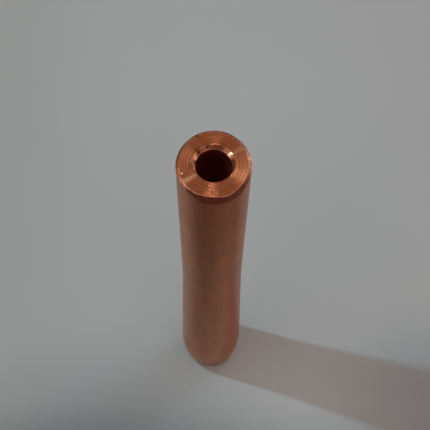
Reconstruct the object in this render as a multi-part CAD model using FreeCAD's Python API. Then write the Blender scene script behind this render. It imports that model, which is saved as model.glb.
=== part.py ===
import FreeCAD
import Part
import os

# Submerged arc contact tip: one copper bar, turned outside and bored through for the welding wire.
# It stands on its foot, with the origin at the middle of the foot and +Z along the bore.
# All lengths are in millimetres.

# Overall length, from the foot to the flat turned head
LENGTH = 70.0

# Outside: a long taper from the head to the waist, a shorter one that widens again to the heel,
# and a round that draws in from the heel to the foot
HEAD_DIAMETER = 9.5
WAIST_DIAMETER = 8.45
WAIST_HEIGHT = 34.0
HEEL_DIAMETER = 9.1
HEEL_HEIGHT = 7.3
FOOT_DIAMETER = 7.6

# Shallow turned line round the waist
WAIST_LINE_WIDTH = 1.2
WAIST_LINE_DEPTH = 0.04

# Edges broken after turning, at 45 degrees
HEAD_CHAMFER = 0.4
FOOT_CHAMFER = 0.3

# Wire bore, with a 45 degree lead-in at the head and a small chamfer at the foot
BORE_DIAMETER = 4.5
LEAD_IN_DIAMETER = 5.1
LEAD_IN_DEPTH = 0.3
BORE_FOOT_CHAMFER = 0.3

FULL_TURN = 360.0
AXIS = FreeCAD.Vector(0, 0, 1)
ORIGIN = FreeCAD.Vector(0, 0, 0)


def section_point(radius, height):
    """A point of the half section, which lies in the XZ plane."""
    return FreeCAD.Vector(radius, 0, height)


def straight(start, end):
    """A straight edge of the half section."""
    return Part.LineSegment(start, end).toShape()


def through(start, middle, end):
    """A round edge of the half section, through three points."""
    return Part.Arc(start, middle, end).toShape()


def between(start, end, height):
    """The point at a given height on the straight line from start to end."""
    share = (height - start.z) / (end.z - start.z)
    return start + (end - start) * share


def middle_of_tangent_arc(start, direction, end):
    """The middle point of the arc that leaves start along direction and ends at end."""
    along = FreeCAD.Vector(direction).normalize()
    inward = along.cross(FreeCAD.Vector(0, 1, 0))
    chord = end - start
    radius = chord.dot(chord) / (2 * chord.dot(inward))
    centre = start + inward * radius
    outward = ((start + end) * 0.5 - centre).normalize()
    return centre + outward * abs(radius)


def outside_edges(foot_rim, head_rim):
    """The turned outside, from the foot's rim up to the head's rim."""
    heel = section_point(HEEL_DIAMETER / 2, HEEL_HEIGHT)
    waist = section_point(WAIST_DIAMETER / 2, WAIST_HEIGHT)
    line_low = between(heel, waist, WAIST_HEIGHT - WAIST_LINE_WIDTH / 2)
    line_high = between(waist, head_rim, WAIST_HEIGHT + WAIST_LINE_WIDTH / 2)
    line_floor = section_point(WAIST_DIAMETER / 2 - WAIST_LINE_DEPTH, WAIST_HEIGHT)
    round_middle = middle_of_tangent_arc(heel, heel - waist, foot_rim)
    return [
        through(foot_rim, round_middle, heel),
        straight(heel, line_low),
        through(line_low, line_floor, line_high),
        straight(line_high, head_rim),
    ]


def head_edges(head_rim, bore_top):
    """The head: its broken outer edge, its flat face and the lead-in of the bore."""
    face_outer = section_point(HEAD_DIAMETER / 2 - HEAD_CHAMFER, LENGTH)
    face_inner = section_point(LEAD_IN_DIAMETER / 2, LENGTH)
    return [
        straight(head_rim, face_outer),
        straight(face_outer, face_inner),
        straight(face_inner, bore_top),
    ]


def foot_edges(bore_bottom, foot_rim):
    """The foot: the chamfer of the bore, the ring that it stands on and its broken outer edge."""
    ring_inner = section_point(BORE_DIAMETER / 2 + BORE_FOOT_CHAMFER, 0)
    ring_outer = section_point(FOOT_DIAMETER / 2 - FOOT_CHAMFER, 0)
    return [
        straight(bore_bottom, ring_inner),
        straight(ring_inner, ring_outer),
        straight(ring_outer, foot_rim),
    ]


def contact_tip():
    """The whole tip, its half section turned once round the bore's axis."""
    head_rim = section_point(HEAD_DIAMETER / 2, LENGTH - HEAD_CHAMFER)
    foot_rim = section_point(FOOT_DIAMETER / 2, FOOT_CHAMFER)
    bore_top = section_point(BORE_DIAMETER / 2, LENGTH - LEAD_IN_DEPTH)
    bore_bottom = section_point(BORE_DIAMETER / 2, BORE_FOOT_CHAMFER)
    edges = (
        outside_edges(foot_rim, head_rim)
        + head_edges(head_rim, bore_top)
        + [straight(bore_top, bore_bottom)]
        + foot_edges(bore_bottom, foot_rim)
    )
    half_section = Part.Face(Part.Wire(edges))
    return half_section.revolve(ORIGIN, AXIS, FULL_TURN)


def main():
    """Writes the tip to its STEP file."""
    os.makedirs("parts", exist_ok=True)
    tip = contact_tip()
    tip.exportStep("parts/contact_tip.step")
    print(f"contact_tip: valid {tip.isValid()}, solids {len(tip.Solids)}, {tip.Volume:.1f} mm3")


main()
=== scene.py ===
"""Submerged arc contact tip in turned copper, standing on its foot on a pale floor."""
import logging
import math
from collections.abc import Callable
from dataclasses import dataclass, field
from enum import Enum

import bpy
from mathutils import Matrix, Vector, noise


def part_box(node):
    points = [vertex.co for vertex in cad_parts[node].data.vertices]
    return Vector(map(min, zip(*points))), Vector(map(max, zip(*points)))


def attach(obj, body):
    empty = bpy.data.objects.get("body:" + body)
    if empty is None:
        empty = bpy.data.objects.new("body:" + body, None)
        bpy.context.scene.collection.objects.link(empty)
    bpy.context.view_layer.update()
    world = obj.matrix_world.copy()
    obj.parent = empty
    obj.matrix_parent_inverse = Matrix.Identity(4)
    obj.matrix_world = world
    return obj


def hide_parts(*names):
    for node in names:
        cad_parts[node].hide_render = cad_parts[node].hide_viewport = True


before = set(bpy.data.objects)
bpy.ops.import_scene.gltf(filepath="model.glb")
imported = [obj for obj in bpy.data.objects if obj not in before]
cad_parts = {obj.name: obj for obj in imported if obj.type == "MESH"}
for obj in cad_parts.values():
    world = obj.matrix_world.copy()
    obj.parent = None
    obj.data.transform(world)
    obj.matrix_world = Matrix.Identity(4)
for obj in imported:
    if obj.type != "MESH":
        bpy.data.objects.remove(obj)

LOG = logging.getLogger("contact_tip")
MM = 0.001
NODE = "contact_tip"
BODY = "root"
TURN = 2 * math.pi

Colour = tuple[float, float, float]
Ring = tuple[float, float]
Socket = bpy.types.NodeSocket

# The middle stretch of a noise's values, which is spread out to 0 and 1
LINE_SPAN: Ring = (0.25, 0.75)
PATCH_SPAN: Ring = (0.3, 0.7)

# A mark weaker than this leaves nothing
FAINTEST = 0.01


class Zone(Enum):
    """The differently finished stretches of the tip's surface, in material order."""

    FACE = 0
    EDGE = 1
    LEAD_IN = 2
    BARREL = 3
    FOOT = 4
    BORE = 5


class StainAndShade(Enum):
    """How much dark tone a mark leaves on the copper, as real staining on the head and barrel and as painted
    shade round the lead-in.
    """

    NONE = 0.0
    LIGHT = 0.45
    HALF = 0.7
    DARK = 1.0


class NodeBench:
    """Adds and joins shader nodes of one material or world."""

    def __init__(self, tree: bpy.types.NodeTree) -> None:
        """Empties the tree and keeps it.

        Args:
            tree: the node tree to fill.
        """
        self.tree = tree
        self.tree.nodes.clear()

    def add(self, kind: str, **settings: object) -> bpy.types.Node:
        """Adds a node.

        Args:
            kind: the node's type name.
            **settings: properties of the node, or values of its inputs by name with spaces as _.

        Returns:
            The new node.
        """
        node = self.tree.nodes.new(kind)
        for name, value in settings.items():
            if hasattr(node, name):
                setattr(node, name, value)
            else:
                node.inputs[name.replace("_", " ")].default_value = value
        return node

    def join(self, source: Socket, target: Socket) -> None:
        """Links an output to an input."""
        self.tree.links.new(source, target)

    def math(self, operation: str, first: Socket | float, second: Socket | float = 0.0) -> Socket:
        """Adds a math node on two sockets or numbers.

        Args:
            operation: the node's operation.
            first: a socket or a number.
            second: a socket or a number.

        Returns:
            The result's socket.
        """
        node = self.add("ShaderNodeMath", operation=operation)
        for place, value in enumerate((first, second)):
            if isinstance(value, Socket):
                self.join(value, node.inputs[place])
            else:
                node.inputs[place].default_value = value
        return node.outputs[0]

    def ramp(self, source: Socket, low: float, high: float) -> Socket:
        """Adds a clamped linear remap to the range from 0 to 1.

        Args:
            source: the value to remap.
            low: the source value that gives 0.
            high: the source value that gives 1.

        Returns:
            The result's socket.
        """
        node = self.add("ShaderNodeMapRange", From_Min=low, From_Max=high)
        self.join(source, node.inputs["Value"])
        return node.outputs["Result"]

    def blend(self, share: Socket, first: Socket | Colour, second: Socket | Colour) -> Socket:
        """Mixes two colours.

        Args:
            share: how much of the second colour shows, from 0 to 1.
            first: a colour or a colour socket.
            second: a colour or a colour socket.

        Returns:
            The mixed colour's socket.
        """
        node = self.add("ShaderNodeMix", data_type="RGBA")
        factor, colours, result = node.inputs[0], node.inputs[6:8], node.outputs[2]
        self.join(share, factor)
        for entry, value in zip(colours, (first, second)):
            if isinstance(value, Socket):
                self.join(value, entry)
            else:
                entry.default_value = (*value, 1.0)
        return result

    def shaded(self, source: Socket, start: float, end: float, colour: Socket, tone: Colour) -> Socket:
        """Multiplies a colour by a tone, softly between two values of a source.

        Args:
            source: the value that drives the change.
            start: the source value without any change.
            end: the source value of the full change.
            colour: the colour to change.
            tone: what it is multiplied by at the end.

        Returns:
            The changed colour's socket.
        """
        grown = self.add("ShaderNodeMapRange", From_Min=start, From_Max=end, interpolation_type="SMOOTHSTEP")
        self.join(source, grown.inputs["Value"])
        changed = self.add("ShaderNodeMix", data_type="RGBA", blend_type="MULTIPLY")
        self.join(grown.outputs["Result"], changed.inputs[0])
        self.join(colour, changed.inputs[6])
        changed.inputs[7].default_value = (*tone, 1.0)
        return changed.outputs[2]


@dataclass(frozen=True)
class CopperFinish:
    """A machined copper surface, with its tool marks, its tone and its tarnish.

    The tool marks run round the axis, so they are lines along the radius or along the height. The
    gloss is stretched across them. A finish may darken towards the head: on the barrel it grows darker
    and redder there, partly as painted shade for the darker floor that the upper barrel reflects; in
    the bore it darkens the wall just under the mouth.
    """

    name: str
    bright: Colour
    dull: Colour
    roughness: float
    anisotropy: float
    edge_tint: Colour = (1.0, 1.0, 1.0)
    head_tone_and_shade: Colour | None = None
    tone_foot: float = 3.0 * MM
    tone_head: float = 68.0 * MM
    haze: float = 0.0
    lines_per_radius: float = 0.0
    lines_per_height: float = 0.0
    line_depth: float = 0.0
    line_tone: float = 0.35
    line_detail: float = 5.0
    line_unrest: float = 0.7
    streaks_round: float = 10.0
    streaks_per_height: float = 90.0
    streak_depth: float = 0.0
    streak_tone: float = 0.0
    streak_detail: float = 4.0
    streak_unrest: float = 0.6
    patch_scale: float = 500.0
    patch_stretch: float = 1.0
    patch_detail: float = 5.0
    patch_unrest: float = 0.55
    rubbed_and_reflected_tone: Colour = (0.40, 0.060, 0.023)
    stain_and_shade: Colour = (0.06, 0.010, 0.006)
    across_grooves: float = 0.25

    def material(self) -> bpy.types.Material:
        """Builds the finish's material.

        Returns:
            The new material.
        """
        material = bpy.data.materials.new(self.name)
        material.use_nodes = True
        bench = NodeBench(material.node_tree)
        place = bench.add("ShaderNodeTexCoord").outputs["Object"]
        radius, angle, height = self._turned_place(bench, place)
        lines = self._lines(bench, radius, height)
        streaks = self._streaks(bench, angle, height)
        patches = self._patches(bench, place)
        shader = bench.add(
            "ShaderNodeBsdfPrincipled",
            Metallic=1.0,
            Roughness=self.roughness,
            Anisotropic=self.anisotropy,
            Anisotropic_Rotation=self.across_grooves,
            Specular_Tint=(*self.edge_tint, 1.0),
            Sheen_Weight=self.haze,
        )
        tangent = bench.add("ShaderNodeTangent", direction_type="RADIAL", axis="Z")
        bench.join(tangent.outputs[0], shader.inputs["Tangent"])
        bench.join(self._colour(bench, height, lines, streaks, patches), shader.inputs["Base Color"])
        bump = bench.add("ShaderNodeBump", Distance=1.0)
        line_relief = bench.math("MULTIPLY", lines, self.line_depth)
        streak_relief = bench.math("MULTIPLY", streaks, self.streak_depth)
        bench.join(bench.math("ADD", line_relief, streak_relief), bump.inputs["Height"])
        bench.join(bump.outputs[0], shader.inputs["Normal"])
        output = bench.add("ShaderNodeOutputMaterial")
        bench.join(shader.outputs[0], output.inputs["Surface"])
        return material

    def _colour(
        self, bench: NodeBench, height: Socket, lines: Socket, streaks: Socket, patches: Socket
    ) -> Socket:
        """Mixes the copper's tone from its lines, streaks, patches and height, and from its marks' dark and
        worn tones, which hold real staining and wear, painted shade round the lead-in and a painted
        reflection on the barrel.

        Args:
            bench: the material's nodes.
            height: the height above the foot.
            lines: the tool lines, from 0 to 1.
            streaks: the streaks along the bar, from 0 to 1.
            patches: the soft patches, from 0 to 1.

        Returns:
            The colour's socket.
        """
        rest = 1.0 - self.line_tone - self.streak_tone
        tone = bench.math("MULTIPLY", patches, rest)
        tone = bench.math("ADD", tone, bench.math("MULTIPLY", lines, self.line_tone))
        tone = bench.math("ADD", tone, bench.math("MULTIPLY", streaks, self.streak_tone))
        colour = bench.blend(tone, self.dull, self.bright)
        # towards the head: on the barrel this is partly painted shade, for the darker floor that the upper
        # barrel reflects
        if self.head_tone_and_shade is not None:
            rise = bench.ramp(height, self.tone_foot, self.tone_head)
            darkened = bench.add("ShaderNodeMix", data_type="RGBA", blend_type="MULTIPLY")
            bench.join(rise, darkened.inputs[0])
            bench.join(colour, darkened.inputs[6])
            darkened.inputs[7].default_value = (*self.head_tone_and_shade, 1.0)
            colour = darkened.outputs[2]
        # the dark tone also holds painted shade round the lead-in, and the worn tone a painted reflection on
        # the barrel
        rubbed_and_reflected = bench.add("ShaderNodeAttribute", attribute_name="rubbed_and_reflected").outputs["Fac"]
        stain_and_shade = bench.add("ShaderNodeAttribute", attribute_name="stain_and_shade").outputs["Fac"]
        return bench.blend(stain_and_shade, bench.blend(rubbed_and_reflected, colour, self.rubbed_and_reflected_tone), self.stain_and_shade)

    def _turned_place(self, bench: NodeBench, place: Socket) -> tuple[Socket, Socket, Socket]:
        """Works out radius, angle and height about the bore's axis.

        Args:
            bench: the material's nodes.
            place: the point in the object's own coordinates.

        Returns:
            The sockets of the radius, of the angle in radians and of the height.
        """
        parts = bench.add("ShaderNodeSeparateXYZ")
        bench.join(place, parts.inputs[0])
        across, along, height = parts.outputs
        across_square = bench.math("MULTIPLY", across, across)
        along_square = bench.math("MULTIPLY", along, along)
        radius = bench.math("SQRT", bench.math("ADD", across_square, along_square))
        return radius, bench.math("ARCTAN2", along, across), height

    def _lines(self, bench: NodeBench, radius: Socket, height: Socket) -> Socket:
        """Draws the tool's turned lines.

        Args:
            bench: the material's nodes.
            radius: the distance from the axis.
            height: the height above the foot.

        Returns:
            The socket of the lines' height, from 0 to 1.
        """
        by_radius = bench.math("MULTIPLY", radius, self.lines_per_radius)
        by_height = bench.math("MULTIPLY", height, self.lines_per_height)
        texture = bench.add(
            "ShaderNodeTexNoise",
            noise_dimensions="1D",
            Scale=1.0,
            Detail=self.line_detail,
            Roughness=self.line_unrest,
        )
        bench.join(bench.math("ADD", by_radius, by_height), texture.inputs["W"])
        return bench.ramp(texture.outputs["Fac"], *LINE_SPAN)

    def _streaks(self, bench: NodeBench, angle: Socket, height: Socket) -> Socket:
        """Draws faint streaks along the bar, from drawing and handling.

        Args:
            bench: the material's nodes.
            angle: the angle about the axis.
            height: the height above the foot.

        Returns:
            The socket of the streaks' height, from 0 to 1.
        """
        joined = bench.add("ShaderNodeCombineXYZ")
        bench.join(bench.math("MULTIPLY", bench.math("COSINE", angle), self.streaks_round), joined.inputs[0])
        bench.join(bench.math("MULTIPLY", bench.math("SINE", angle), self.streaks_round), joined.inputs[1])
        bench.join(bench.math("MULTIPLY", height, self.streaks_per_height), joined.inputs[2])
        texture = bench.add(
            "ShaderNodeTexNoise", Scale=1.0, Detail=self.streak_detail, Roughness=self.streak_unrest
        )
        bench.join(joined.outputs[0], texture.inputs["Vector"])
        return bench.ramp(texture.outputs["Fac"], *PATCH_SPAN)

    def _patches(self, bench: NodeBench, place: Socket) -> Socket:
        """Draws the soft darker and redder patches of handled copper.

        Args:
            bench: the material's nodes.
            place: the point in the object's own coordinates.

        Returns:
            The socket of the patches, from 0 to 1.
        """
        shift = bench.add("ShaderNodeMapping", Scale=(1.0, 1.0, self.patch_stretch))
        bench.join(place, shift.inputs["Vector"])
        texture = bench.add(
            "ShaderNodeTexNoise",
            Scale=self.patch_scale,
            Detail=self.patch_detail,
            Roughness=self.patch_unrest,
        )
        bench.join(shift.outputs[0], texture.inputs["Vector"])
        return bench.ramp(texture.outputs["Fac"], *PATCH_SPAN)


FINISHES = {
    Zone.FACE: CopperFinish(
        name="faced_copper", bright=(0.70, 0.240, 0.113), dull=(0.46, 0.152, 0.070), roughness=0.126,
        anisotropy=1.0, lines_per_radius=4700.0, line_depth=5.2e-6, line_tone=0.6, line_detail=2.5,
        patch_scale=1500.0,
    ),
    Zone.EDGE: CopperFinish(
        name="deburred_copper", bright=(0.56, 0.19, 0.105), dull=(0.38, 0.115, 0.06), roughness=0.34,
        anisotropy=0.3, lines_per_radius=5000.0, lines_per_height=5000.0, line_depth=4e-6,
        streaks_round=40.0, streak_depth=1e-5, patch_scale=1400.0,
    ),
    Zone.LEAD_IN: CopperFinish(
        name="lead_in_copper", bright=(0.53, 0.20, 0.12), dull=(0.33, 0.11, 0.06), roughness=0.17,
        anisotropy=0.5, lines_per_height=4000.0, line_depth=3e-6, streaks_round=12.0, streak_depth=1e-5,
        patch_scale=1200.0,
    ),
    Zone.BARREL: CopperFinish(
        name="drawn_copper", bright=(0.69, 0.235, 0.133), dull=(0.41, 0.138, 0.073), roughness=0.30,
        # the darkening towards the head is partly painted shade, for the darker floor the upper barrel
        # reflects; the worn tone also paints a reflection streak
        anisotropy=0.2, edge_tint=(1.0, 0.95, 0.85), head_tone_and_shade=(0.92, 0.58, 0.26), haze=0.022,
        lines_per_height=1800.0, line_depth=1.5e-6, line_tone=0.15, streaks_round=26.0,
        streak_depth=7e-6, streak_tone=0.35, patch_scale=420.0, patch_stretch=0.5,
        rubbed_and_reflected_tone=(0.62, 0.015, 0.0),
    ),
    Zone.FOOT: CopperFinish(
        name="foot_copper", bright=(0.58, 0.23, 0.14), dull=(0.44, 0.16, 0.09), roughness=0.35,
        anisotropy=0.6, lines_per_radius=6000.0, line_depth=4e-6, patch_scale=700.0,
    ),
    Zone.BORE: CopperFinish(
        name="bored_copper", bright=(1.0, 0.27, 0.16), dull=(0.62, 0.08, 0.045), roughness=0.42,
        anisotropy=0.3, head_tone_and_shade=(0.25, 0.20, 0.20), tone_foot=60.0 * MM, tone_head=69.7 * MM,
        lines_per_height=2500.0, line_depth=2e-6, line_tone=0.1, streaks_round=11.0,
        streaks_per_height=60.0, streak_depth=1.2e-5, streak_tone=0.7, patch_stretch=0.15,
    ),
}


@dataclass(frozen=True)
class Mark:
    """A small dent, nick or stained spot, or a patch of painted shade or a painted reflection, at an angle
    about the axis and a place on the surface.
    """

    angle_deg: float
    radius: float
    height: float
    size: float
    depth: float
    stain_and_shade: StainAndShade
    stretch: float = 1.0
    rubbed_and_reflected: float = 0.0

    def centre(self) -> Vector:
        """The mark's middle."""
        angle = math.radians(self.angle_deg)
        return Vector((self.radius * math.cos(angle), self.radius * math.sin(angle), self.height))

    def strength(self, point: Vector) -> float:
        """How strongly the mark shows at a point, from 0 to 1.

        Args:
            point: a point of the surface.

        Returns:
            The strength there.
        """
        away = point - self.centre()
        away.z /= self.stretch
        return math.exp(-((away.length / self.size) ** 2))


@dataclass(frozen=True)
class FiledSpot:
    """A stretch of the head's edge that was broken further, or less far, than the rest."""

    angle_deg: float
    spread_deg: float
    extra: float
    power: float = 2.0

    def share(self, angle: float) -> float:
        """How much of the extra applies at an angle, from 0 to 1.

        Args:
            angle: the angle about the axis, in radians.

        Returns:
            The share.
        """
        away = (math.degrees(angle) - self.angle_deg + 180.0) % 360.0 - 180.0
        return math.exp(-(abs(away / self.spread_deg) ** self.power))

    def depth(self, angle: float) -> float:
        """The extra at an angle, in metres."""
        return self.extra * self.share(angle)


@dataclass(frozen=True)
class Unevenness:
    """Smooth random waves that close round the axis, as a hand leaves them in an edge.

    Each wave has its pace round the axis and its weight. The start keeps two edges from sharing them.
    """

    start: float
    waves: tuple[Ring, ...]

    def at(self, angle: float) -> float:
        """Sums the waves at an angle.

        Args:
            angle: the angle about the axis, in radians.

        Returns:
            The sum, without a unit.
        """
        round_trip = Vector((math.cos(angle), math.sin(angle), self.start))
        return sum(weight * noise.noise(round_trip * pace) for pace, weight in self.waves)


@dataclass
class TipSection:
    """The half section of the tip, with the head's uneven, hand-broken edge."""

    length: float
    head_radius: float
    waist_radius: float = 4.225 * MM
    waist_height: float = 34.0 * MM
    heel_radius: float = 4.55 * MM
    heel_height: float = 7.3 * MM
    foot_radius: float = 3.8 * MM
    foot_chamfer: float = 0.3 * MM
    waist_line_width: float = 1.2 * MM
    waist_line_depth: float = 0.012 * MM
    head_chamfer: float = 0.33 * MM
    head_drop: float = 0.40 * MM
    chatter: float = 0.045 * MM
    drop_chatter: float = 0.09 * MM
    rim_step: float = 0.05 * MM
    bore_radius: float = 2.25 * MM
    lead_in_radius: float = 2.55 * MM
    lead_in_shift: Ring = (0.05 * MM, 0.19 * MM)
    bore_foot_chamfer: float = 0.3 * MM
    outer_lip_round: float = 0.035 * MM
    inner_lip_round: float = 0.09 * MM
    lip_fall: float = 0.45
    lip_blend: int = 4
    crown: float = 0.012
    widened: tuple[FiledSpot, ...] = (
        FiledSpot(294.0, 11.0, -0.15 * MM),
        FiledSpot(225.0, 22.0, -0.09 * MM),
        FiledSpot(170.0, 16.0, 0.08 * MM),
        FiledSpot(8.0, 22.0, 0.07 * MM),
        FiledSpot(90.0, 40.0, -0.14 * MM),
    )
    deepened: tuple[FiledSpot, ...] = (
        FiledSpot(282.0, 45.0, 1.2 * MM, power=4.0),
        FiledSpot(206.0, 28.0, -0.14 * MM),
        FiledSpot(90.0, 45.0, -0.22 * MM),
    )
    rim_waves: Unevenness = Unevenness(0.0, ((3.0, 1.0), (11.0, 0.8), (29.0, 0.5)))
    drop_waves: Unevenness = Unevenness(1.0, ((5.0, 1.0), (21.0, 0.7)))
    filed_waves: Unevenness = Unevenness(2.0, ((14.0, 0.5),))
    filed_base: float = 0.85

    def chamfer(self, angle: float) -> float:
        """How far the head's broken edge reaches in over the face, at an angle.

        Args:
            angle: the angle about the axis, in radians.

        Returns:
            The width, in metres.
        """
        steady = self.head_chamfer + sum(spot.depth(angle) for spot in self.widened)
        return steady + self.chatter * self.rim_waves.at(angle)

    def drop(self, angle: float) -> float:
        """How far the head's broken edge reaches down the barrel, at an angle.

        Args:
            angle: the angle about the axis, in radians.

        Returns:
            The drop, in metres.
        """
        steady = self.head_drop + sum(spot.depth(angle) for spot in self.deepened)
        return steady + self.drop_chatter * self.drop_waves.at(angle)

    def filed(self, angle: float) -> float:
        """How far the file has worn through to fresh copper at an angle, from 0 for not at all to about 1.
        """
        return self.deepened[0].share(angle) * (self.filed_base + self.filed_waves.at(angle))

    def lip(self, angle: float) -> float:
        """The radius of the lead-in's lip, which was cut a little off the bore's axis.

        Args:
            angle: the angle about the axis, in radians.

        Returns:
            The radius, in metres.
        """
        across, along = self.lead_in_shift
        return self.lead_in_radius + across * math.cos(angle) + along * math.sin(angle)

    def lead_in(self, share: float, angle: float) -> Ring:
        """A point on the lead-in.

        Args:
            share: 0 at the lip and 1 at the bore.
            angle: the angle about the axis, in radians.

        Returns:
            The radius and the height.
        """
        lip, top = self.face(1.0, angle)
        width = lip - self.bore_radius
        return lip - width * share, top - width * share

    def bore(self, share: float, angle: float) -> Ring:
        """A point on the bore's wall.

        Args:
            share: 0 under the lead-in and 1 at the foot's chamfer.
            angle: the angle about the axis, in radians.

        Returns:
            The radius and the height.
        """
        top = self.lead_in(1.0, angle)[1]
        return self.bore_radius, top - (top - self.bore_foot_chamfer) * share

    def barrel_radius(self, height: float) -> float:
        """The outside radius between the heel and the head.

        Args:
            height: the height above the foot.

        Returns:
            The radius, in metres.
        """
        if height >= self.waist_height:
            share = (height - self.waist_height) / (self.length - self.waist_height)
            plain = self.waist_radius + share * (self.head_radius - self.waist_radius)
        else:
            share = (self.waist_height - height) / (self.waist_height - self.heel_height)
            plain = self.waist_radius + share * (self.heel_radius - self.waist_radius)
        away = min(1.0, abs(height - self.waist_height) / (self.waist_line_width / 2))
        groove = self.waist_line_depth * 0.5 * (1.0 + math.cos(math.pi * away))
        return plain - groove

    def heel_round(self, share: float) -> Ring:
        """A point on the round from the heel down to the foot.

        Args:
            share: 0 at the heel and 1 at the foot's rim.

        Returns:
            The radius and the height.
        """
        drop = self.heel_height - self.foot_chamfer
        sag = self.heel_radius - self.foot_radius
        bend = (drop * drop + sag * sag) / (2 * sag)
        turn = share * math.asin(drop / bend)
        return self.heel_radius - bend * (1 - math.cos(turn)), self.heel_height - bend * math.sin(turn)

    def broken_edge(self, share: float, angle: float) -> Ring:
        """A point on the head's broken edge.

        Args:
            share: 0 at the barrel and 1 at the face.
            angle: the angle about the axis, in radians.

        Returns:
            The radius and the height.
        """
        low = self.length - self.drop(angle)
        rim = self.barrel_radius(low)
        inner, top = self.face(0.0, angle)
        return rim + (inner - rim) * share, low + (top - low) * share

    def under_rim(self, angle: float) -> Ring:
        """The barrel just under the broken edge, at an angle."""
        height = self.length - self.drop(angle) - self.rim_step
        return self.barrel_radius(height), height

    def face(self, share: float, angle: float) -> Ring:
        """A point on the turned face, which falls a little to its rim and is rounded at both lips.

        Args:
            share: 0 at the outer lip and 1 at the inner lip.
            angle: the angle about the axis, in radians.

        Returns:
            The radius and the height.
        """
        outer, inner = self.head_radius - self.chamfer(angle), self.lip(angle)
        even_outer, even_inner = self.head_radius - self.head_chamfer, self.lead_in_radius
        radius = even_outer + (even_inner - even_outer) * share
        radius += (outer - even_outer) * (1 - share) ** self.lip_blend
        radius += (inner - even_inner) * share ** self.lip_blend
        from_outer = max(0.0, 1 - (outer - radius) / self.outer_lip_round)
        from_inner = max(0.0, 1 - (radius - inner) / self.inner_lip_round)
        droop = self.outer_lip_round * from_outer ** 2 + self.inner_lip_round * from_inner ** 2
        return radius, self.length - self.lip_fall * droop - self.crown * (radius - self.bore_radius)


@dataclass
class Station:
    """One ring of the lathe mesh: its place at every angle, and the finish of the band before it."""

    place: Callable[[float], Ring]
    zone: Zone


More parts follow.
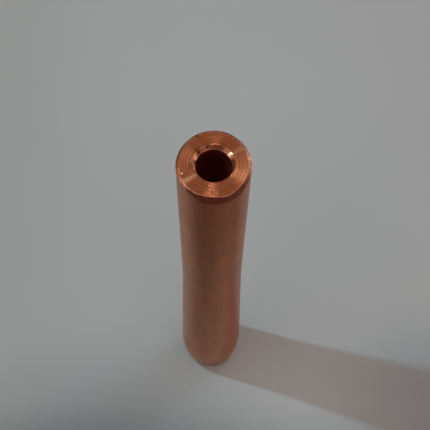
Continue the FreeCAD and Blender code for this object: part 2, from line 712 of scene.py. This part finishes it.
@dataclass
class ContactTip:
    """The turned copper tip as one dense lathe mesh."""

    section: TipSection
    segments: int = 360
    foot_rings: int = 5
    heel_rings: int = 15
    lower_rings: int = 20
    line_rings: int = 12
    barrel_rings: int = 66
    face_rings: int = 44
    lead_in_rings: int = 10
    bore_rings: int = 30
    face_line_pitch: float = 0.14 * MM
    face_line_depth: float = 0.0012 * MM
    lip_share: float = 0.05
    lip_crowding: float = 0.8
    edge_room: float = 1.8 * MM
    edge_shares: tuple[float, ...] = (0.0, 0.06, 0.25, 0.5, 0.75, 0.94)
    marks: list[Mark] = field(default_factory=list)

    def stations(self) -> list[Station]:
        """Lists the rings from the foot's bore edge, up the outside and down the bore.

        Returns:
            The rings in order round the half section.
        """
        rings = self._foot_stations()
        rings += self._barrel_stations()
        rings += self._head_edge_stations()
        rings += self._face_stations()
        rings += self._bore_stations()
        return rings

    def _fixed(self, radius: float, height: float, zone: Zone) -> Station:
        """A ring that is the same at every angle."""
        return Station(lambda angle: (radius, height), zone)

    def _foot_stations(self) -> list[Station]:
        """The foot's ring and the round above it.

        Returns:
            The rings.
        """
        cut = self.section
        inner = cut.bore_radius + cut.bore_foot_chamfer
        width = cut.foot_radius - cut.foot_chamfer - inner
        rings = []
        for step in range(self.foot_rings + 1):
            rings.append(self._fixed(inner + width * step / self.foot_rings, 0.0, Zone.FOOT))
        for step in range(self.heel_rings, 0, -1):
            radius, height = cut.heel_round(step / self.heel_rings)
            zone = Zone.EDGE if step == self.heel_rings else Zone.BARREL
            rings.append(self._fixed(radius, height, zone))
        return rings

    def _barrel_stations(self) -> list[Station]:
        """The two tapers, with closer rings at the waist line.

        Returns:
            The rings.
        """
        cut = self.section
        half = cut.waist_line_width / 2
        line_low, line_high = cut.waist_height - half, cut.waist_height + half
        below = line_low - cut.heel_height
        above = cut.length - self.edge_room - line_high
        heights = [cut.heel_height + below * step / self.lower_rings for step in range(self.lower_rings)]
        heights += [line_low + 2 * half * step / self.line_rings for step in range(self.line_rings)]
        heights += [line_high + above * step / self.barrel_rings for step in range(self.barrel_rings + 1)]
        return [self._fixed(cut.barrel_radius(height), height, Zone.BARREL) for height in heights]

    def _head_edge_stations(self) -> list[Station]:
        """The head's broken edge, uneven round the head.

        Returns:
            The rings.
        """
        cut = self.section
        rings = [Station(cut.under_rim, Zone.BARREL)]
        for share in self.edge_shares:
            rings.append(Station(lambda angle, share=share: cut.broken_edge(share, angle), Zone.EDGE))
        return rings

    def _face_stations(self) -> list[Station]:
        """The turned face, from its rounded outer lip to its rounded inner lip.

        Returns:
            The rings.
        """
        rings = []
        for step in range(self.face_rings + 1):
            even = step / self.face_rings
            share = even - self.lip_crowding * math.sin(TURN * even) / TURN
            zone = Zone.EDGE if share < self.lip_share else Zone.FACE
            rings.append(Station(lambda angle, share=share: self._grooved_face(share, angle), zone))
        return rings

    def _grooved_face(self, share: float, angle: float) -> Ring:
        """A point on the face with the tool's shallow grooves cut into it.

        Args:
            share: 0 at the outer lip and 1 at the inner lip.
            angle: the angle about the axis, in radians.

        Returns:
            The radius and the height.
        """
        radius, height = self.section.face(share, angle)
        groove = 0.5 + 0.5 * math.sin(TURN * radius / self.face_line_pitch)
        return radius, height - self.face_line_depth * groove

    def _bore_stations(self) -> list[Station]:
        """The lead-in and the bore's wall.

        Returns:
            The rings.
        """
        cut = self.section
        rings = []
        for step in range(1, self.lead_in_rings + 1):
            share = step / self.lead_in_rings
            rings.append(Station(lambda angle, share=share: cut.lead_in(share, angle), Zone.LEAD_IN))
        for step in range(1, self.bore_rings + 1):
            share = step / self.bore_rings
            rings.append(Station(lambda angle, share=share: cut.bore(share, angle), Zone.BORE))
        return rings

    def build(self) -> bpy.types.Object:
        """Builds the mesh, with its marks and its finishes.

        Returns:
            The new object.
        """
        rings = self.stations()
        points: list[Vector] = []
        stains_and_shades: list[float] = []
        rubbed_and_reflected: list[float] = []
        for ring in rings:
            for step in range(self.segments):
                angle = TURN * step / self.segments
                radius, height = ring.place(angle)
                point = Vector((radius * math.cos(angle), radius * math.sin(angle), height))
                point, stain_and_shade, worn_and_reflected = self._marked(point, ring.zone)
                lip = self.section.head_radius - self.section.chamfer(angle)
                if ring.zone is Zone.EDGE and radius > lip:
                    worn_and_reflected = max(worn_and_reflected, self.section.filed(angle))
                points.append(point)
                stains_and_shades.append(stain_and_shade)
                rubbed_and_reflected.append(worn_and_reflected)
        faces, zones = self._faces(rings)
        mesh = bpy.data.meshes.new("turned_tip")
        mesh.from_pydata(points, [], faces)
        for zone in Zone:
            mesh.materials.append(FINISHES[zone].material())
        mesh.polygons.foreach_set("material_index", zones)
        mesh.polygons.foreach_set("use_smooth", [True] * len(faces))
        for name, values in (("stain_and_shade", stains_and_shades), ("rubbed_and_reflected", rubbed_and_reflected)):
            mesh.attributes.new(name, "FLOAT", "POINT").data.foreach_set("value", values)
        mesh.validate()
        mesh.update()
        tip = bpy.data.objects.new("turned_tip", mesh)
        bpy.context.scene.collection.objects.link(tip)
        return tip

    def _faces(self, rings: list[Station]) -> tuple[list[tuple[int, ...]], list[int]]:
        """Joins neighbouring rings, and the last to the first.

        Args:
            rings: the rings in order.

        Returns:
            The faces, and each face's material number.
        """
        faces = []
        zones = []
        count = len(rings)
        for row in range(count):
            below = row * self.segments
            above = ((row + 1) % count) * self.segments
            zone = rings[row + 1].zone if row + 1 < count else Zone.EDGE
            for step in range(self.segments):
                following = (step + 1) % self.segments
                faces.append((below + step, below + following, above + following, above + step))
                zones.append(zone.value)
        return faces, zones

    def _marked(self, point: Vector, zone: Zone) -> tuple[Vector, float, float]:
        """Presses the dents into a point of the surface.

        Args:
            point: the point as turned.
            zone: the finish there.

        Returns:
            The point as it is now, its share of the dark tone and its share of the worn tone; the dark tone
            holds real staining and painted shade, the worn tone real wear and a painted reflection.
        """
        if zone is Zone.BORE:
            return point, 0.0, 0.0
        inward = Vector((-point.x, -point.y, 0.0)).normalized()
        if zone is Zone.FACE:
            inward = Vector((0.0, 0.0, -1.0))
        stain_and_shade, worn_and_reflected = 0.0, 0.0
        moved = point.copy()
        for mark in self.marks:
            strength = mark.strength(point)
            if strength > FAINTEST:
                moved += inward * (mark.depth * strength)
                stain_and_shade = max(stain_and_shade, mark.stain_and_shade.value * strength)
                worn_and_reflected = max(worn_and_reflected, mark.rubbed_and_reflected * strength)
        return moved, stain_and_shade, worn_and_reflected

    def dress(self, tip: bpy.types.Object) -> None:
        """Puts the mesh in the place of the plain solid.

        Args:
            tip: the finished mesh object.
        """
        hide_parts(NODE)
        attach(tip, BODY)


@dataclass(frozen=True)
class SoftLamp:
    """A rectangular lamp that looks at the tip.

    Its level is the light that it alone gives the floor, where 1 shows a colour as it is written.
    """

    name: str
    azimuth_deg: float
    elevation_deg: float
    distance: float
    width: float
    height: float
    level: float
    colour: Colour = (1.0, 1.0, 1.0)
    roll_deg: float = 0.0

    def build(self, aim: Vector) -> bpy.types.Object:
        """Builds the lamp.

        Args:
            aim: the point it looks at.

        Returns:
            The lamp object.
        """
        azimuth = math.radians(self.azimuth_deg)
        elevation = math.radians(self.elevation_deg)
        way = Vector((
            math.cos(elevation) * math.cos(azimuth),
            math.cos(elevation) * math.sin(azimuth),
            math.sin(elevation),
        ))
        light = bpy.data.lights.new(self.name, "AREA")
        light.shape = "RECTANGLE"
        light.size = self.width
        light.size_y = self.height
        light.color = self.colour
        light.energy = self.level * math.pi * self.distance ** 2 * math.pi / math.sin(elevation)
        lamp = bpy.data.objects.new(self.name, light)
        turn = way.to_track_quat("Z", "Y").to_matrix().to_4x4()
        roll = Matrix.Rotation(math.radians(self.roll_deg), 4, "Z")
        lamp.matrix_world = Matrix.Translation(aim + way * self.distance) @ turn @ roll
        bpy.context.scene.collection.objects.link(lamp)
        return lamp


@dataclass(frozen=True)
class PaintedFloorShade:
    """A painted shade on the floor, which grows softly along one direction."""

    way: Ring
    start: float
    end: float
    tone: Colour

    def apply(self, bench: NodeBench, place: Socket, colour: Socket) -> Socket:
        """Paints the shade into the floor's colour.

        Args:
            bench: the floor material's nodes.
            place: the point on the floor.
            colour: the colour so far.

        Returns:
            The darkened colour's socket.
        """
        reach = bench.add("ShaderNodeVectorMath", operation="DOT_PRODUCT")
        bench.join(place, reach.inputs[0])
        reach.inputs[1].default_value = (*self.way, 0.0)
        return bench.shaded(reach.outputs["Value"], self.start, self.end, colour, self.tone)


@dataclass(frozen=True)
class PaintedFloorPool:
    """A painted pool of shade or light on the floor, strongest in its middle."""

    middle: Ring
    radii: Ring
    tone: Colour

    def apply(self, bench: NodeBench, place: Socket, colour: Socket) -> Socket:
        """Paints the shade or light into the floor's colour.

        Args:
            bench: the floor material's nodes.
            place: the point on the floor.
            colour: the colour so far.

        Returns:
            The shaded colour's socket.
        """
        away = bench.add("ShaderNodeVectorMath", operation="SUBTRACT")
        bench.join(place, away.inputs[0])
        away.inputs[1].default_value = (*self.middle, 0.0)
        scaled = bench.add("ShaderNodeVectorMath", operation="DIVIDE")
        bench.join(away.outputs[0], scaled.inputs[0])
        scaled.inputs[1].default_value = (*self.radii, 1.0)
        length = bench.add("ShaderNodeVectorMath", operation="LENGTH")
        bench.join(scaled.outputs[0], length.inputs[0])
        return bench.shaded(length.outputs["Value"], 1.0, 0.0, colour, self.tone)


@dataclass
class Studio:
    """The pale floor with its painted shades, the room's even light and the lamps."""

    floor_size: float = 4.0
    floor_tone: Colour = (0.368, 0.340, 0.325)
    floor_roughness: float = 0.9
    floor_shine: float = 0.1
    grain_scale: float = 60.0
    grain_detail: float = 4.0
    grain_gain: float = 1.015
    # painted shade: the floor grows darker towards the front and towards the left
    painted_fades: tuple[PaintedFloorShade, ...] = (
        PaintedFloorShade((0.0, -1.0), 9.0 * MM, 20.0 * MM, (0.74, 0.76, 0.76)),
        PaintedFloorShade((0.0, -1.0), 27.0 * MM, 38.0 * MM, (0.62, 0.62, 0.60)),
        PaintedFloorShade((-1.0, 0.0), 14.0 * MM, 40.0 * MM, (0.91, 0.90, 0.88)),
    )
    # painted shadows to the front left and to the right of the tip, and a painted pool of light behind it
    painted_pools: tuple[PaintedFloorPool, ...] = (
        PaintedFloorPool((-16.0 * MM, -22.0 * MM), (37.0 * MM, 28.0 * MM), (0.55, 0.59, 0.60)),
        PaintedFloorPool((38.0 * MM, -8.0 * MM), (24.0 * MM, 18.0 * MM), (0.71, 0.73, 0.76)),
        PaintedFloorPool((4.0 * MM, 48.0 * MM), (40.0 * MM, 30.0 * MM), (1.05, 1.05, 1.05)),
    )
    wall_light: Colour = (0.19, 0.165, 0.15)
    ceiling_light: Colour = (0.32, 0.27, 0.24)
    ceiling_edge: float = 0.7
    lamps: tuple[SoftLamp, ...] = (
        SoftLamp("key", 164.4, 65.6, 0.258, 0.005, 0.005, 0.31, (0.60, 1.07, 1.29)),
        SoftLamp("left_window", 195.0, 14.0, 1.2, 0.08, 0.08, 0.0075, (0.50, 1.36, 2.1)),
        SoftLamp("right_panel", 43.5, 65.0, 1.2, 0.26, 0.15, 0.038, (0.88, 1.08, 1.20), roll_deg=20.0),
        SoftLamp("right_wall", 53.0, 62.0, 1.2, 0.30, 0.36, 0.042, (0.88, 1.08, 1.20), roll_deg=20.0),
        SoftLamp("overhead", 97.0, 81.0, 1.2, 0.052, 0.18, 0.019, (0.95, 1.0, 1.20), roll_deg=-11.0),
        SoftLamp("right_window", 37.0, 12.0, 1.2, 0.26, 0.5, 0.036, (0.76, 1.14, 1.28)),
        SoftLamp("right_low", 6.0, 8.0, 1.2, 0.20, 0.20, 0.0035, (0.95, 1.0, 1.10)),
        SoftLamp("left_fill", 200.0, 40.0, 1.3, 1.6, 1.6, 0.20, (1.05, 0.97, 0.92)),
        SoftLamp("front_fill", 330.0, 45.0, 1.3, 1.8, 1.8, 0.20, (1.05, 0.97, 0.92)),
    )

    def build(self, aim: Vector) -> None:
        """Builds the floor, the world and the lamps.

        Args:
            aim: the point the lamps look at.
        """
        self._floor()
        self._world()
        for lamp in self.lamps:
            lamp.build(aim)
            LOG.info("lamp %s at level %.4f", lamp.name, lamp.level)

    def _floor(self) -> None:
        """Lays the paper-like floor."""
        half = self.floor_size / 2
        mesh = bpy.data.meshes.new("floor")
        corners = [(-half, -half, 0.0), (half, -half, 0.0), (half, half, 0.0), (-half, half, 0.0)]
        mesh.from_pydata(corners, [], [(0, 1, 2, 3)])
        floor = bpy.data.objects.new("floor", mesh)
        bpy.context.scene.collection.objects.link(floor)
        mesh.materials.append(self._paper())

    def _paper(self) -> bpy.types.Material:
        """The floor's matt paper, with its fine grain, its painted soft shades and a painted pool of light.

        Returns:
            The new material.
        """
        material = bpy.data.materials.new("floor_paper")
        material.use_nodes = True
        bench = NodeBench(material.node_tree)
        place = bench.add("ShaderNodeTexCoord").outputs["Object"]
        texture = bench.add("ShaderNodeTexNoise", Scale=self.grain_scale, Detail=self.grain_detail)
        bench.join(place, texture.inputs["Vector"])
        pale = tuple(part * self.grain_gain for part in self.floor_tone)
        colour = bench.blend(bench.ramp(texture.outputs["Fac"], *PATCH_SPAN), self.floor_tone, pale)
        for shade in (*self.painted_fades, *self.painted_pools):
            colour = shade.apply(bench, place, colour)
        shader = bench.add(
            "ShaderNodeBsdfPrincipled", Roughness=self.floor_roughness, Specular_IOR_Level=self.floor_shine
        )
        bench.join(colour, shader.inputs["Base Color"])
        output = bench.add("ShaderNodeOutputMaterial")
        bench.join(shader.outputs[0], output.inputs["Surface"])
        return material

    def _world(self) -> None:
        """Fills the room with soft light, a little brighter from the ceiling than from the walls."""
        world = bpy.data.worlds.new("room")
        world.use_nodes = True
        bench = NodeBench(world.node_tree)
        parts = bench.add("ShaderNodeSeparateXYZ")
        bench.join(bench.add("ShaderNodeTexCoord").outputs["Generated"], parts.inputs[0])
        rise = bench.ramp(parts.outputs[2], 0.0, self.ceiling_edge)
        background = bench.add("ShaderNodeBackground", Strength=1.0)
        bench.join(bench.blend(rise, self.wall_light, self.ceiling_light), background.inputs["Color"])
        output = bench.add("ShaderNodeOutputWorld")
        bench.join(background.outputs[0], output.inputs["Surface"])
        bpy.context.scene.world = world


@dataclass
class HandheldCamera:
    """The camera, held above and in front of the tip and looking steeply down at it."""

    frame_pixels: float = 430.0
    focal_pixels: float = 1541.7
    sensor: float = 36.0
    place: Vector = field(default_factory=lambda: Vector((0.284 * MM, -80.6 * MM, 242.2 * MM)))
    pitch_deg: float = 66.79
    roll_deg: float = 1.18
    clip: Ring = (0.005, 20.0)

    def build(self) -> bpy.types.Object:
        """Builds the camera and makes it the scene's own.

        Returns:
            The camera object.
        """
        lens = bpy.data.cameras.new("handheld")
        lens.sensor_width = self.sensor
        lens.lens = self.focal_pixels / self.frame_pixels * self.sensor
        lens.clip_start, lens.clip_end = self.clip
        camera = bpy.data.objects.new("handheld", lens)
        tilt = Matrix.Rotation(math.radians(90.0 - self.pitch_deg), 4, "X")
        roll = Matrix.Rotation(math.radians(self.roll_deg), 4, "Z")
        camera.matrix_world = Matrix.Translation(self.place) @ tilt @ roll
        bpy.context.scene.collection.objects.link(camera)
        bpy.context.scene.camera = camera
        return camera


def wear() -> list[Mark]:
    """Lists the dents, nicks and stained spots that the tip has picked up, with the painted shade round the
    lead-in and a painted reflection on the barrel.

    Returns:
        The marks.
    """
    head_pits = [
        Mark(200.0, 4.30 * MM, 69.98 * MM, 0.18 * MM, 0.09 * MM, StainAndShade.DARK),
        Mark(119.0, 4.40 * MM, 69.98 * MM, 0.17 * MM, 0.07 * MM, StainAndShade.DARK),
    ]
    barrel_wear_and_reflection = [
        Mark(-49.0, 4.66 * MM, 62.3 * MM, 0.30 * MM, 0.02 * MM, StainAndShade.LIGHT, 2.4, rubbed_and_reflected=1.0),
        Mark(-52.5, 4.62 * MM, 60.9 * MM, 0.22 * MM, 0.02 * MM, StainAndShade.LIGHT, 2.4, rubbed_and_reflected=1.0),
        Mark(-119.0, 4.70 * MM, 67.0 * MM, 0.16 * MM, 0.02 * MM, StainAndShade.LIGHT),
        Mark(-30.0, 4.20 * MM, 32.6 * MM, 0.2 * MM, 0.03 * MM, StainAndShade.LIGHT, 1.6),
        # painted reflection: a long faint redder streak down the lower right of the barrel, for the tip's
        # shadow and copper reflected there
        Mark(-35.0, 4.35 * MM, 22.0 * MM, 1.3 * MM, 0.0, StainAndShade.NONE, 17.0, rubbed_and_reflected=0.42),
    ]
    # painted shade: dark patches round the lead-in, standing for its darker reflections and damping the
    # lamps' highlights there
    lead_in_painted_shade = [
        Mark(18.0, 2.50 * MM, 69.85 * MM, 0.34 * MM, 0.0, StainAndShade.LIGHT),
        Mark(52.0, 2.56 * MM, 69.85 * MM, 0.22 * MM, 0.0, StainAndShade.LIGHT),
        Mark(66.0, 2.56 * MM, 69.85 * MM, 0.46 * MM, 0.0, StainAndShade.HALF),
        Mark(108.0, 2.60 * MM, 69.85 * MM, 0.30 * MM, 0.0, StainAndShade.DARK),
        Mark(122.0, 2.60 * MM, 69.85 * MM, 0.26 * MM, 0.0, StainAndShade.LIGHT),
        Mark(138.0, 2.56 * MM, 69.85 * MM, 0.42 * MM, 0.0, StainAndShade.DARK),
        Mark(186.0, 2.50 * MM, 69.8 * MM, 0.40 * MM, 0.0, StainAndShade.HALF),
    ]
    return head_pits + barrel_wear_and_reflection + lead_in_painted_shade


def main() -> None:
    """Builds the tip, its studio and its camera."""
    logging.basicConfig(level=logging.INFO, format="%(name)s: %(message)s")
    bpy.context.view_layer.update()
    low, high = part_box(NODE)
    width = min(high[0] - low[0], high[1] - low[1])
    section = TipSection(length=high[2] - low[2], head_radius=width / 2)
    tip = ContactTip(section=section, marks=wear())
    piece = tip.build()
    tip.dress(piece)
    LOG.info("turned tip: %d faces", len(piece.data.polygons))
    Studio().build(Vector((0.0, 0.0, section.length / 2)))
    HandheldCamera().build()
    bpy.context.scene.view_settings.view_transform = "Standard"


if __name__ == "__main__":
    main()
